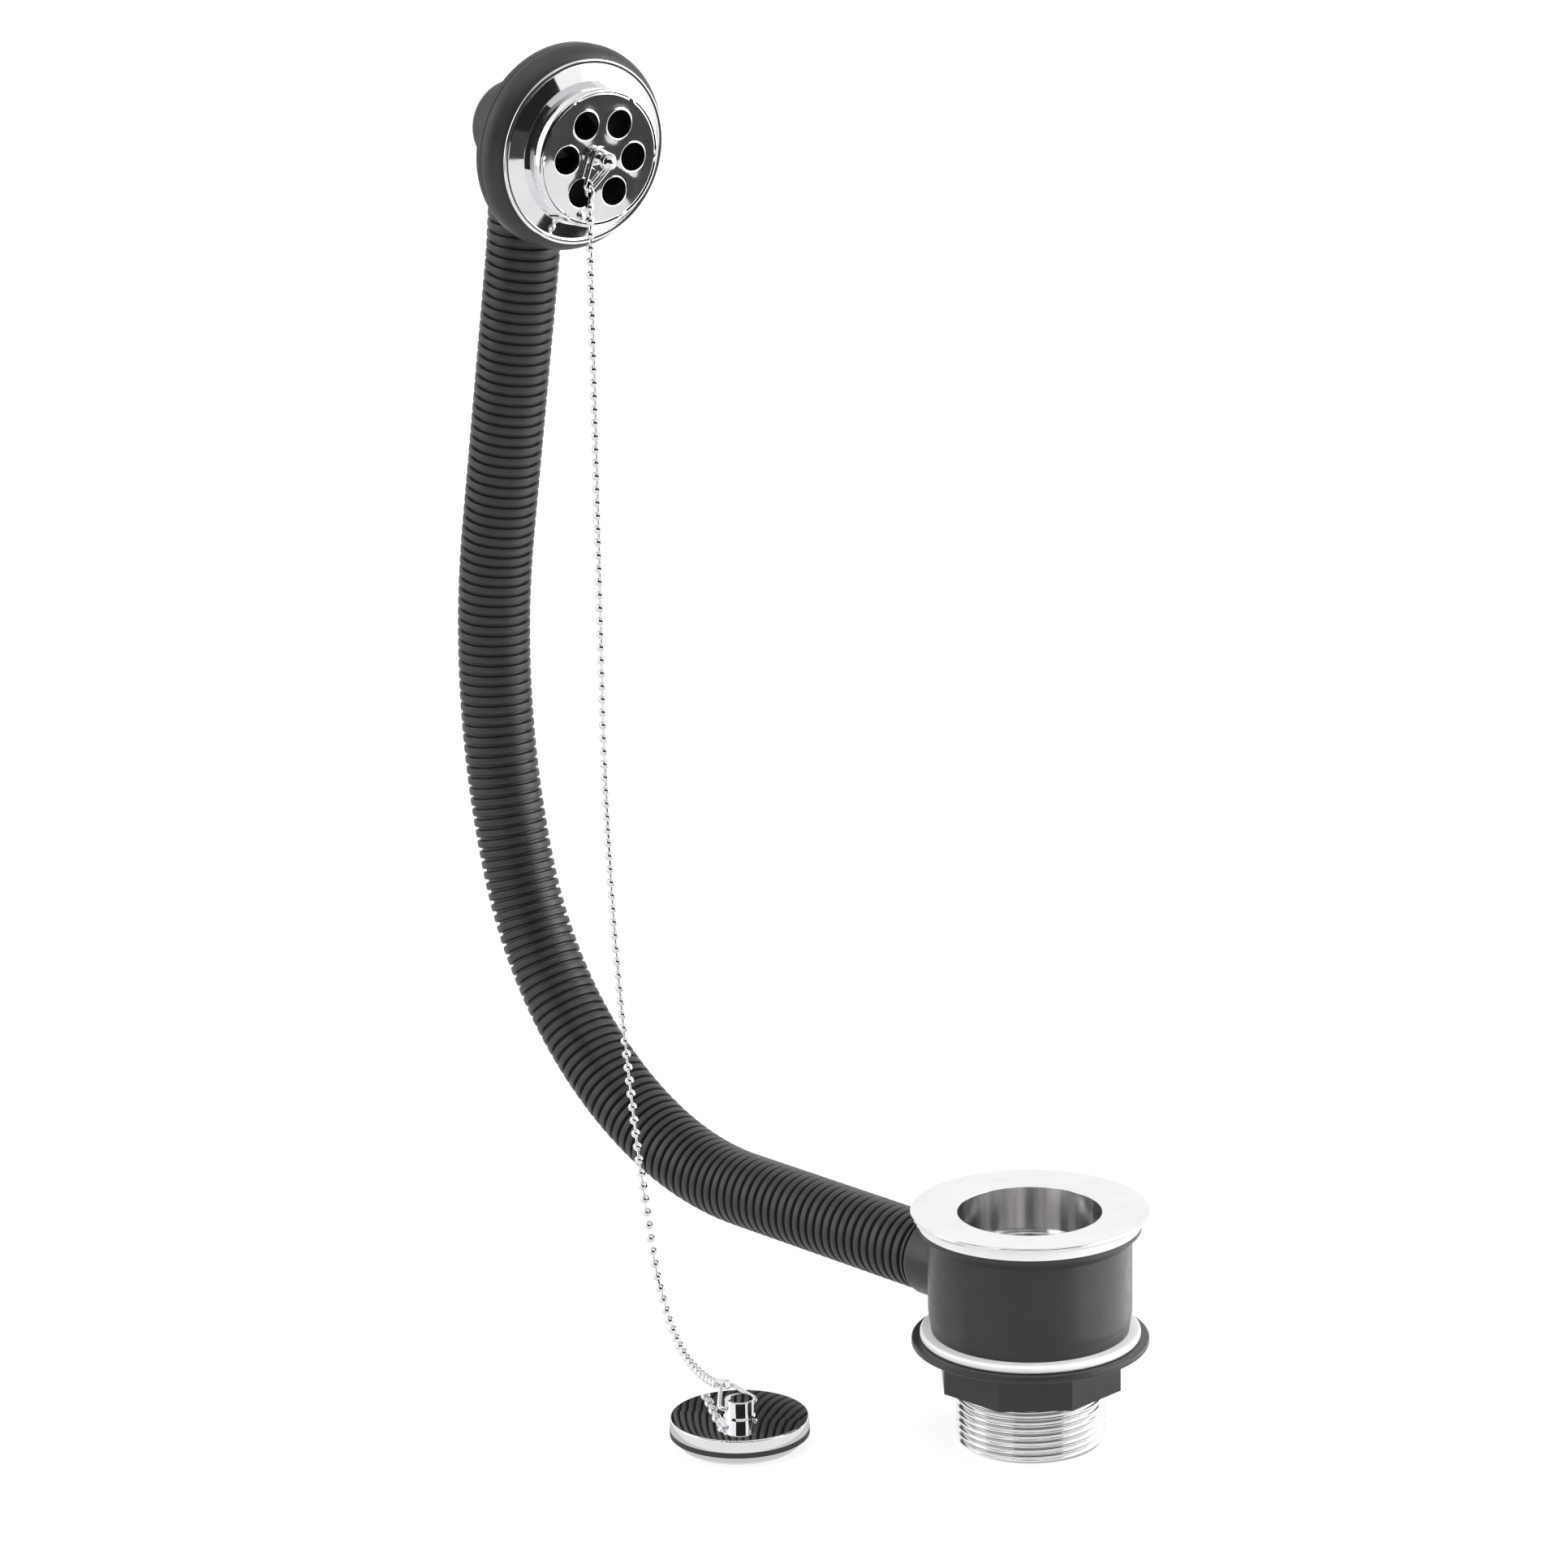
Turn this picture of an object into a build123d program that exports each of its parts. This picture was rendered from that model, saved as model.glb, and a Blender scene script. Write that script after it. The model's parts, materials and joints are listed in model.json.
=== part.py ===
from build123d import *
from math import atan2, cos, radians, sin, sqrt
import os

# A bath waste and overflow, in millimetres and degrees.
# The origin is on the waste axis, on the bath floor, where the flange washer meets the bath washer.
# +Z is up. +X runs from the overflow across to the waste, the way the overflow rose faces.

fit = 0.1  # clearance on each side of pieces that slide into each other

# Waste fitting: a flange with a plug seat, and a threaded tail (G 1 1/2) left plain here
flange_d = 76.0
flange_lip = 1.3
flange_round = 0.45
flange_rim = 1.0  # level band outside the dished top
flange_dish = 0.9
seat_d = 46.0
seat_depth = 15.7
cup_d = 51.6
ledge_t = 3.5
tail_d = 47.8
tail_bore_d = 42.0
waste_h = 77.5
tail_chamfer = 1.2
slot_count = 4
slot_w = 9.0
slot_h = 15.0

# Washers above and below the banjo body
flange_washer_t = 3.5
washer_d = 71.0
bath_washer_t = 4.3
bath_washer_rim = 1.6  # upright edge above the taper
lower_washer_d = 70.5
lower_washer_t = 2.6
lower_washer_round = 0.9

# Banjo body: the black chamber that takes the overflow water into the waste
body_d = 65.2
body_h = 30.9
body_foot_d = 63.2
body_foot_h = 6.5
body_wall = 3.0
spigot_drop = 17.7  # top of the body to the spigot axis
collar_d = 26.2
collar_end = 46.0  # waste axis to the collar's end face
collar_round = 2.4

# Back nut
nut_flange_d = 76.0
nut_flange_t = 2.3
nut_flange_round = 0.7
nut_flats = 56.2
nut_h = 12.9
nut_sides = 8
nut_turn = 2.9  # direction that one flat faces

# Corrugated hose, in the plane Y = 0, and the nipples it is pushed over
hose_d = 25.0
hose_groove = 1.3
hose_bore_d = 20.0
rib_pitch = 3.65
nipple_bore_d = 16.0
hose_grip = 14.0
hose_top_r = 180.0
hose_headings = (-10.2, 15.7, 64.3, 90.0)  # from straight down towards +X, after each bend
hose_bends = (267.0, 124.4, 111.3)

# Overflow head: where it stands, how it leans and how it is turned
overflow_reach = 232.1  # waste axis to the elbow's upright axis
overflow_rise = 326.9  # bath floor to the elbow's level axis
head_lean = 6.6
head_turn = -7.4
face_forward = 43.3  # elbow's upright axis to the front of the rose

# Overflow rose: a hat-shaped pressing, from its front face back to its rim
rose_wall = 1.2
plate_r = 23.2
plate_round = 1.2
crown_r = 24.0
crown_depth = 8.5
brim_r = 29.3
brim_fall = 1.4
rim_r = 31.0
rim_proud = 0.5
rose_depth = 11.4
rose_holes = 6
hole_d = 9.5
hole_rim_d = 10.8
hole_ring_r = 12.9
hole_phase = 32.0

# Overflow seal and elbow
seal_r = 34.6
seal_bore_r = 22.0
seal_t = 7.3
seal_round = 6.0
seal_edge = 0.8  # rounding where the seal and the elbow's flange meet
elbow_flange_r = 34.3
elbow_flange_t = 2.7
barrel_r = 15.0
barrel_bore_r = 11.7
barrel_depth = 57.5  # front of the rose to the closed end
barrel_round = 4.0
elbow_collar_r = 12.4
elbow_drop = 21.0  # elbow's level axis to the top of the hose
boss_r = 5.2
boss_front = 23.0
boss_back = 39.0
web_t = 2.6
web_root = 0.5  # how far the web runs into the barrel's wall

# Screw with a ball head, and the brass insert that takes it
screw_d = 4.8
screw_reach = 34.0
screw_shoulder_r = 4.0
screw_shoulder_t = 0.8
neck_r = 1.6
ball_r = 2.9
ball_out = 4.8
insert_r = 3.6

# Triangular wire link on the screw's neck
link_wire = 1.3
link_half = 4.9
link_point = 16.5
link_bend = 1.8
link_swing = 30.0

# Ball chain: hangs straight down, then sweeps across to the plug in three bends
bead_d = 3.1
bead_flat_r = 0.62
bead_waist = 0.65  # half the height of the bead's upright faces
bead_sides = 6
bead_pitch = 4.5
pin_r = 0.4
pin_gap = 0.03
ring_r = 2.1
ring_wire = 1.1
stem_r = 0.8
stem_len = 1.2
chain_way = -26.4  # direction of the sweep, from +X towards +Y
chain_bends = (342.3, 53.8, 128.2)
chain_turns = (30.0, 60.0, 15.0)

# Strap that joins the chain to the bail
strap_len = 6.6
strap_h = 3.1
strap_w = 1.8
strap_wall = 0.7
strap_round = 0.9

# Plug: post and bail on a chromed disc with a rubber ring, standing level with the tail's end
plug_d = 44.8
band_h = 4.1
plug_round = 0.5
groove_d = 40.0
groove_h = 1.7
plug_seal_d = 45.0
cone_top_d = 44.0
cone_foot_d = 38.0
cone_h = 3.6
post_d = 9.3
post_h = 5.8
post_round = 0.4
post_flare = 0.5
stud_d = 4.0
stud_len = 6.0
bail_wire = 1.4
bail_level = 3.2  # plug top to the bail's pivot
bail_tuck = 2.0  # how near the bail's ends come to the post's axis
bail_half = 7.7
bail_point = 12.4
bail_corner = 1.55
bail_bend = 3.0
bail_rise = 27.0
plug_way = -12.0  # direction from the bail's point to the post, from +X towards +Y


def walk(heading, legs, s):
    """Where a path of tangent legs, each (length, turn), has got to after s.

    Gives the distance across, the height and the heading. Headings are counted from straight down.
    """
    across = height = 0.0
    for length, turn in legs:
        step = min(s, length)
        after = heading + turn * step / length
        if turn:
            radius = length / radians(turn)
            across += radius * (cos(radians(heading)) - cos(radians(after)))
            height -= radius * (sin(radians(after)) - sin(radians(heading)))
        else:
            across += step * sin(radians(heading))
            height -= step * cos(radians(heading))
        heading = after
        s -= step
    return across, height, heading


def bend(radius, turn):
    return abs(radius * radians(turn)), turn


def total(legs):
    return sum(length for length, _ in legs)


def disc(d, low, high):
    return Pos(0, 0, low) * Cylinder(d / 2, high - low, align=(Align.CENTER, Align.CENTER, Align.MIN))


def rod(r, back, front):
    """A cylinder along X from back to front."""
    return Pos((back + front) / 2, 0, 0) * Cylinder(r, front - back, rotation=(0, 90, 0))


def turned(points, axis=Axis.Z):
    """A solid of revolution from an outline in the plane of the axis."""
    return revolve(make_face(Polyline(*points, close=True)), axis)


def wire_along(path, d):
    start = Plane(origin=path @ 0, z_dir=path % 0)
    return sweep(start * Circle(d / 2), path)


# Heights along the waste axis
flange_top = flange_washer_t + flange_lip
ledge_z = flange_top - seat_depth
cup_foot = ledge_z - ledge_t
tail_end = flange_top - waste_h
body_top = -bath_washer_t
body_foot = body_top - body_h
washer_foot = body_foot - lower_washer_t
nut_flange_foot = washer_foot - nut_flange_t
nut_foot = nut_flange_foot - nut_h
spigot_z = body_top - spigot_drop

waste_body = (
    disc(flange_d, flange_washer_t, flange_top)
    + disc(cup_d, cup_foot, flange_washer_t)
    + disc(tail_d, tail_end, cup_foot)
)
waste_body -= disc(seat_d, ledge_z, flange_top)
waste_body -= disc(tail_bore_d, tail_end, ledge_z)
dish_r = flange_d / 2 - flange_rim
waste_body -= Pos(0, 0, flange_top - flange_dish) * Cone(
    seat_d / 2, dish_r, flange_dish, align=(Align.CENTER, Align.CENTER, Align.MIN)
)
flange_rims = waste_body.edges().group_by(Axis.Z)[-1].sort_by(SortBy.RADIUS)
waste_body = fillet(flange_rims[-1], flange_round)
tail_rims = waste_body.edges().group_by(Axis.Z)[0].sort_by(SortBy.RADIUS)
waste_body = chamfer(tail_rims[-1], tail_chamfer)
slot_z = (cup_foot + body_foot + body_wall) / 2
slot = Pos(0, 0, slot_z) * Rot(0, 90, 0) * extrude(SlotOverall(slot_h, slot_w), tail_d)
for k in range(slot_count):
    waste_body -= Rot(0, 0, 360 / slot_count * (k + 0.5)) * slot

flange_washer = disc(washer_d, 0, flange_washer_t) - disc(cup_d + 2 * fit, 0, flange_washer_t)

bath_washer = disc(washer_d, -bath_washer_rim, 0)
bath_washer += Pos(0, 0, body_top) * Cone(
    body_d / 2, washer_d / 2, bath_washer_t - bath_washer_rim, align=(Align.CENTER, Align.CENTER, Align.MIN)
)
bath_washer -= disc(cup_d + 2 * fit, body_top, 0)

nipple_d = hose_bore_d - 2 * fit
drum = disc(body_d, body_foot + body_foot_h, body_top)
foot = Pos(0, 0, body_foot) * Cone(
    body_foot_d / 2, body_d / 2, body_foot_h, align=(Align.CENTER, Align.CENTER, Align.MIN)
)
collar = rod(collar_d / 2, -collar_end, 0)
collar = fillet(collar.edges().group_by(Axis.X)[0], collar_round)
nipple = rod(nipple_d / 2, -collar_end - hose_grip, -collar_end)
banjo_body = drum + foot + Pos(0, 0, spigot_z) * (collar + nipple)
banjo_body -= disc(body_d - 2 * body_wall, body_foot + body_foot_h, body_top - body_wall)
banjo_body -= Pos(0, 0, body_foot + body_wall) * Cone(
    body_foot_d / 2 - body_wall,
    body_d / 2 - body_wall,
    body_foot_h - body_wall,
    align=(Align.CENTER, Align.CENTER, Align.MIN),
)
banjo_body -= disc(cup_d + 2 * fit, body_top - body_wall, body_top)
banjo_body -= disc(tail_d + 2 * fit, body_foot, body_foot + body_wall)
banjo_body -= Pos(0, 0, spigot_z) * rod(nipple_bore_d / 2, -collar_end - hose_grip, 0)

lower_washer = disc(lower_washer_d, washer_foot, body_foot)
lower_washer = fillet(lower_washer.edges().filter_by(GeomType.CIRCLE), lower_washer_round)
lower_washer -= disc(tail_d + 2 * fit, washer_foot, body_foot)

nut_flange = disc(nut_flange_d, nut_flange_foot, washer_foot)
nut_flange = fillet(nut_flange.edges().filter_by(GeomType.CIRCLE), nut_flange_round)
corner_way = nut_turn + 180 / nut_sides
nut_outline = RegularPolygon(nut_flats / 2, nut_sides, major_radius=False, rotation=corner_way)
back_nut = nut_flange + Pos(0, 0, nut_foot) * extrude(nut_outline, nut_h)
back_nut -= disc(tail_d + 2 * fit, nut_foot, washer_foot)

# The head's own frame: x forward out of the rose, z up along the elbow, the origin on the rose's face
lean, turn = radians(head_lean), radians(head_turn)
forward = Vector(cos(turn) * cos(lean), sin(turn), -cos(turn) * sin(lean))
upright = Vector(sin(lean), 0, cos(lean))
elbow_point = Vector(-overflow_reach, 0, overflow_rise)
head = Plane(origin=elbow_point + forward * face_forward, x_dir=forward, z_dir=upright)

# The hose leaves the elbow along its upright axis and comes level at the spigot's height
hose_top = elbow_point - upright * elbow_drop
first_bend = bend(hose_top_r, hose_headings[0] + head_lean)
turns = [b - a for a, b in zip(hose_headings, hose_headings[1:])]
lower_bends = [bend(r, t) for r, t in zip(hose_bends, turns)]
fixed = [(hose_grip, 0), first_bend, *lower_bends]
fixed_across, fixed_height, _ = walk(-head_lean, fixed, total(fixed))
slope = radians(hose_headings[0])
upper_run = (hose_top.Z + fixed_height - spigot_z) / cos(slope)
level_run = -collar_end - hose_top.X - fixed_across - upper_run * sin(slope)
hose_legs = [(hose_grip, 0), first_bend, (upper_run, 0), *lower_bends, (level_run, 0)]


def on_hose(s):
    across, height, heading = walk(-head_lean, hose_legs, s)
    way = Vector(sin(radians(heading)), 0, -cos(radians(heading)))
    return Plane(origin=hose_top + Vector(across, 0, height), x_dir=(0, 1, 0), z_dir=way)


hose_length = total(hose_legs)
rib_count = round(hose_length / rib_pitch)
stations = [hose_length * k / (2 * rib_count) for k in range(2 * rib_count + 1)]
crest, valley = hose_d / 2, hose_d / 2 - hose_groove
ribs = [Wire.make_circle((crest, valley)[k % 2], on_hose(s)) for k, s in enumerate(stations)]
hose_skin = Solid.make_loft(ribs, ruled=True)
bore_edges = []
reached = 0.0
for length, angle in hose_legs:
    ends = [on_hose(reached + length * share).origin for share in (0, 0.5, 1)]
    bore_edges.append(Edge.make_three_point_arc(*ends) if angle else Edge.make_line(ends[0], ends[2]))
    reached += length
bore = sweep(on_hose(0) * Circle(hose_bore_d / 2), Wire(bore_edges))
overflow_hose = hose_skin - bore

# Overflow elbow, in the head's frame
seal_front = -rose_depth
seal_back = seal_front - seal_t
upright_at = Pos(-face_forward, 0, 0)
elbow_back = rod(barrel_r, -barrel_depth, seal_back)
elbow_back = fillet(elbow_back.edges().group_by(Axis.X)[0], barrel_round)
elbow_flange = rod(elbow_flange_r, seal_back - elbow_flange_t, seal_back)
elbow_flange = fillet(elbow_flange.edges().group_by(Axis.X)[-1], seal_edge)
overflow_elbow = elbow_back + elbow_flange
overflow_elbow += upright_at * disc(2 * elbow_collar_r, -elbow_drop, 0)
overflow_elbow += upright_at * disc(nipple_d, -elbow_drop - hose_grip, -elbow_drop)
overflow_elbow -= rod(barrel_bore_r, -barrel_depth + body_wall, seal_back)
overflow_elbow -= upright_at * disc(nipple_bore_d, -elbow_drop - hose_grip, 0)
web = Box(boss_back - boss_front, 2 * (barrel_bore_r + web_root), web_t)
overflow_elbow += Pos(-(boss_front + boss_back) / 2, 0, 0) * web
overflow_elbow += rod(boss_r, -boss_back, -boss_front)
overflow_elbow -= rod(insert_r, -boss_back, -boss_front)

overflow_insert = rod(insert_r, -boss_back, -boss_front) - rod(screw_d / 2 + fit, -boss_back, -boss_front)

overflow_seal = rod(seal_r, seal_back, seal_front)
overflow_seal = fillet(overflow_seal.edges().group_by(Axis.X)[-1], seal_round)
overflow_seal = fillet(overflow_seal.edges().group_by(Axis.X)[0], seal_edge)
overflow_seal -= rod(seal_bore_r, seal_back, seal_front)

brim_back = crown_depth + brim_fall
rose_outline = [
    (0, 0),
    (0, plate_r),
    (-crown_depth, crown_r),
    (-brim_back, brim_r),
    (rim_proud - brim_back, brim_r + rim_proud),
    (rim_proud - brim_back, rim_r - rim_proud),
    (-brim_back, rim_r),
    (-rose_depth, rim_r),
    (-rose_depth, brim_r),
    (-brim_back - rose_wall, brim_r),
    (-crown_depth - rose_wall, crown_r - rose_wall),
    (-rose_wall, plate_r - rose_wall),
    (-rose_wall, 0),
]
overflow_rose = turned(rose_outline, Axis.X)
overflow_rose = fillet(overflow_rose.edges().group_by(Axis.X)[-1], plate_round)
hole_chamfer = (hole_rim_d - hole_d) / 2
hole = rod(hole_d / 2, -rose_wall, 0)
hole += Pos(-hole_chamfer / 2, 0, 0) * Cone(hole_d / 2, hole_rim_d / 2, hole_chamfer, rotation=(0, 90, 0))
for k in range(rose_holes):
    round_by = radians(hole_phase + 360 / rose_holes * k)
    overflow_rose -= Pos(0, hole_ring_r * sin(round_by), hole_ring_r * cos(round_by)) * hole
overflow_rose -= rod(screw_d / 2 + fit, -rose_wall, 0)

rose_screw = rod(screw_d / 2, -screw_reach, 0) + rod(screw_shoulder_r, 0, screw_shoulder_t)
rose_screw += rod(neck_r, 0, ball_out) + Pos(ball_out, 0, 0) * Sphere(ball_r)

# The link's top bar rests on the screw's neck, and its point hangs down to one side
link_bar = neck_r + link_wire / 2 + fit
link_x = screw_shoulder_t + link_wire / 2 + fit
link_lean = atan2(link_half, link_bar + link_point)
link_low = link_point - link_bend / sin(link_lean) + link_bend
link_plane = Plane(origin=(link_x, 0, 0), x_dir=(0, 1, 0), z_dir=(1, 0, 0)).rotated((-link_swing, 0, 0))
link_corners = [(link_half, link_bar), (0, -link_point), (-link_half, link_bar)]
link_path = FilletPolyline(*link_corners, radius=link_bend, close=True)
screw_link = link_plane * wire_along(link_path, link_wire)
link_bend_at = head.from_local_coords(link_plane.from_local_coords(Vector(0, link_bend - link_low)))
link_foot = link_bend_at - upright * link_bend

# The upper ring hangs on the link's point, and the chain hangs from the ring
ring_drop = ring_r - ring_wire / 2 - link_wire / 2 - fit
ring_at = link_foot - Vector(0, 0, ring_drop)
ring_axis = Vector(-sin(turn), cos(turn), 0)
stem_top = ring_at - Vector(0, 0, ring_r)
stem_foot = stem_top - Vector(0, 0, stem_len)
upper_coupling = Plane(origin=ring_at, z_dir=ring_axis) * Torus(ring_r, ring_wire / 2)
upper_coupling += Plane(stem_foot) * Cylinder(
    stem_r, stem_len, align=(Align.CENTER, Align.CENTER, Align.MIN)
)

# Beads are faceted, with a flat at each end where the pins enter
bead_r = bead_d / 2
bead_end = sqrt(bead_r**2 - bead_flat_r**2)
bead_rows = ((bead_flat_r, bead_end), (sqrt(bead_r**2 - bead_waist**2), bead_waist))
corners = [
    (r * cos(radians(360 / bead_sides * k)), r * sin(radians(360 / bead_sides * k)), side * z)
    for r, z in bead_rows
    for side in (-1, 1)
    for k in range(bead_sides)
]
bead = ConvexPolyhedron(corners)

# Plug heights, and the bail from its pivot up to its point
plug_foot = tail_end
cone_top = plug_foot + cone_h
groove_top = cone_top + groove_h
plug_top = groove_top + band_h
pivot_z = plug_top + bail_level
bail_lean = atan2(bail_half, bail_point)
bail_reach = bail_point - bail_bend / sin(bail_lean) + bail_bend
tilt = radians(bail_rise)

# The chain's straight run is as long as the drop to the bail needs, and the plug stands where it ends
chain_top = stem_foot - Vector(0, 0, bead_end)
sweeps = [bend(r, t) for r, t in zip(chain_bends, chain_turns)]
swept, fallen, chain_heading = walk(0, sweeps, total(sweeps))
rising = radians(chain_heading - 90)
bail_seat = bail_bend - sqrt((bail_bend - bail_wire / 2) ** 2 - (strap_w / 2) ** 2)
strap_reach = bead_r + strap_len - strap_wall - bail_seat - fit
last_bead_z = pivot_z + bail_reach * sin(tilt) - strap_reach * sin(rising)
straight_run = chain_top.Z + fallen - last_bead_z
chain_legs = [(straight_run, 0), *sweeps]
chain_length = total(chain_legs)
bead_count = round(chain_length / bead_pitch) + 1
step = chain_length / (bead_count - 1)
sweep_way = Vector(cos(radians(chain_way)), sin(radians(chain_way)), 0)
sweep_side = Vector(-sweep_way.Y, sweep_way.X, 0)


def on_chain(s):
    across, height, heading = walk(0, chain_legs, s)
    way = sweep_way * sin(radians(heading)) + Vector(0, 0, -cos(radians(heading)))
    return Plane(origin=chain_top + sweep_way * across + Vector(0, 0, height), x_dir=sweep_side, z_dir=way)


bead_planes = [on_chain(step * k) for k in range(bead_count)]
chain_beads = Compound(children=[plane * bead for plane in bead_planes])
pins = []
for here, there in zip(bead_planes, bead_planes[1:]):
    start = here.origin + here.z_dir * (bead_end + pin_gap)
    stop = there.origin - there.z_dir * (bead_end + pin_gap)
    across_pin = Plane(origin=start, x_dir=sweep_side, z_dir=stop - start)
    pins.append(extrude(across_pin * RegularPolygon(pin_r, bead_sides), (stop - start).length))
chain_pins = Compound(children=pins)

# The strap carries on from the last bead, and the bail passes through its far end
last_bead = bead_planes[-1].origin
plug_ahead = Vector(cos(radians(plug_way)), sin(radians(plug_way)), 0)
plug_side = Vector(-plug_ahead.Y, plug_ahead.X, 0)
strap_way = plug_ahead * cos(rising) + Vector(0, 0, sin(rising))
strap_outline = RectangleRounded(strap_len, strap_h, strap_round)
strap_gap_len, strap_gap_h = strap_len - 2 * strap_wall, strap_h - 2 * strap_wall
strap_outline -= RectangleRounded(strap_gap_len, strap_gap_h, strap_round - strap_wall)
strap_at = last_bead + strap_way * (bead_r + strap_len / 2)
strap_plane = Plane(origin=strap_at, x_dir=strap_way, z_dir=plug_side)
lower_coupling = strap_plane * extrude(strap_outline, strap_w / 2, both=True)

bail_foot = last_bead + strap_way * strap_reach
pivot = bail_foot + plug_ahead * (bail_reach * cos(tilt)) - Vector(0, 0, bail_reach * sin(tilt))
plug = Plane(origin=(pivot.X, pivot.Y, 0), x_dir=plug_ahead, z_dir=(0, 0, 1))
bail_corners = [
    (0, bail_tuck),
    (0, bail_half),
    (bail_point, 0),
    (0, -bail_half),
    (0, -bail_tuck),
]
bail_path = FilletPolyline(*bail_corners, radius=(bail_corner, bail_bend, bail_corner))
bail_way = plug_ahead * -cos(tilt) + Vector(0, 0, sin(tilt))
bail_plane = Plane(origin=pivot, x_dir=bail_way, z_dir=bail_way.cross(plug_side))
plug_bail = bail_plane * wire_along(bail_path, bail_wire)

plug_body = disc(plug_d, groove_top, plug_top)
plug_body = fillet(plug_body.edges().group_by(Axis.Z)[-1], plug_round)
plug_body += disc(groove_d, cone_top, groove_top)
plug_body += Pos(0, 0, plug_foot) * Cone(
    cone_foot_d / 2, cone_top_d / 2, cone_h, align=(Align.CENTER, Align.CENTER, Align.MIN)
)
plug_body -= disc(stud_d + 2 * fit, plug_top - stud_len - fit, plug_top)

plug_seal = disc(plug_seal_d, cone_top, groove_top) - disc(groove_d, cone_top, groove_top)

plug_post = disc(post_d, plug_top, plug_top + post_h)
plug_post = fillet(plug_post.edges().group_by(Axis.Z)[-1], post_round)
plug_post += Pos(0, 0, plug_top) * Cone(
    post_d / 2 + post_flare, post_d / 2, post_flare, align=(Align.CENTER, Align.CENTER, Align.MIN)
)
plug_post += disc(stud_d, plug_top - stud_len, plug_top)
plug_post -= Pos(0, 0, pivot_z) * Cylinder(bail_wire / 2 + fit, post_d, rotation=(90, 0, 0))

pieces = {
    "waste_body": waste_body,
    "flange_washer": flange_washer,
    "bath_washer": bath_washer,
    "banjo_body": banjo_body,
    "lower_washer": lower_washer,
    "back_nut": back_nut,
    "overflow_hose": overflow_hose,
    "overflow_elbow": head * overflow_elbow,
    "overflow_insert": head * overflow_insert,
    "overflow_seal": head * overflow_seal,
    "overflow_rose": head * overflow_rose,
    "rose_screw": head * rose_screw,
    "screw_link": head * screw_link,
    "upper_coupling": upper_coupling,
    "chain_beads": chain_beads,
    "chain_pins": chain_pins,
    "lower_coupling": lower_coupling,
    "plug_bail": plug_bail,
    "plug_post": plug * plug_post,
    "plug_body": plug * plug_body,
    "plug_seal": plug * plug_seal,
}

os.makedirs("parts", exist_ok=True)
for name, piece in pieces.items():
    export_step(piece, f"parts/{name}.step")
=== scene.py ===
import json
import math
import bmesh
import bpy
from mathutils import Matrix, Vector, geometry, kdtree


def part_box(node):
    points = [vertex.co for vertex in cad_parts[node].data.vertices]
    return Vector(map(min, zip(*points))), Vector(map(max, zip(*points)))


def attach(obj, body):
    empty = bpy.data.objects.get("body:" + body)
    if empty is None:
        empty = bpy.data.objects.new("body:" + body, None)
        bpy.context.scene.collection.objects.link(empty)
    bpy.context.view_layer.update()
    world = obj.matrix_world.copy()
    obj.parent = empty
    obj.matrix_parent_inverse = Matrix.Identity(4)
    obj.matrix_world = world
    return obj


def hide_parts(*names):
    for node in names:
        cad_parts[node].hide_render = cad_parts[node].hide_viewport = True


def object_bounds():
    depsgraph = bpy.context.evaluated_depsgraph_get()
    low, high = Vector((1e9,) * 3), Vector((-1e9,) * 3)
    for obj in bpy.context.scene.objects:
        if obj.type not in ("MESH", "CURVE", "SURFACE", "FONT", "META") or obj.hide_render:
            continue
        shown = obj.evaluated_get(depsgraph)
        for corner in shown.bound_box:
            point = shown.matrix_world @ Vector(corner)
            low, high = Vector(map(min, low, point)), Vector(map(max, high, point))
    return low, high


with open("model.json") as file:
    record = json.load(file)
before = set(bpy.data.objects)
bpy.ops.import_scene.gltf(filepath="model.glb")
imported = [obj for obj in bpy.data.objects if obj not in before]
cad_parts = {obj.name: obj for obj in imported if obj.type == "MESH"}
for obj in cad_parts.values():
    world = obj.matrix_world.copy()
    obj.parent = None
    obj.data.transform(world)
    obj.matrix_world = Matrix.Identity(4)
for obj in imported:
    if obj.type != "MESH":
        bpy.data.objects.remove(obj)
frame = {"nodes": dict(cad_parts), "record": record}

CAD_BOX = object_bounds()
NODES = frame["nodes"]
MM = 0.001

# The camera: where it stands, which way it looks and how it is rolled.
CAMERA_AT = (1115.98, -1125.14, 567.67)
CAMERA_TURN = 47.5
CAMERA_DOWN = 14.93
CAMERA_ROLL = -1.0
CAMERA_LENS = 121.118
CAMERA_SENSOR = 36

# Waste fitting, in millimetres: a dished flange, a plug seat and a threaded tail.
THREAD_PITCH = 2.309
THREAD_DEPTH = 1.25
THREAD_TOP = -41.0
THREAD_FLAT = 0.14
THREAD_ROWS = 14
# Painted shade: the thread's colour darkens from this share of the depth down to the root.
THREAD_BRIGHT = 0.45  # share of the depth below the crest where the thread is fully bright
THREAD_REACH = 1.05  # share of the depth that counts as the thread's face
TAIL_D = 47.8
TAIL_BORE_D = 42.0
TAIL_CHAMFER = 1.2
FLANGE_LIP = 1.3
FLANGE_ROUND = 0.45
FLANGE_RIM = 1.0
FLANGE_DISH = 0.9
SEAT_D = 46.0
SEAT_DEPTH = 15.7
SEAT_EDGE = 0.15
LEDGE_ROUND = 0.3
CUP_D = 51.6
CUP_DEPTH = 19.2
SLOT_W = 9.0
SLOT_H = 15.0
SLOT_Z = -23.3
SLOTS = 4
SLOT_SIDES = 12
SLOT_IN = 4
SLOT_OUT = 3
WASTE_SIDES = 160

# Hose ribs: wide crests with narrow grooves between them.
HOSE_D = 25.0
HOSE_GROOVE = 1.3
HOSE_BORE_D = 20.2
HOSE_SIDES = 48
HOSE_BORE_STEP = 6  # rings outside for each ring of the bore
HOSE_NEAR = 2e-5
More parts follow.
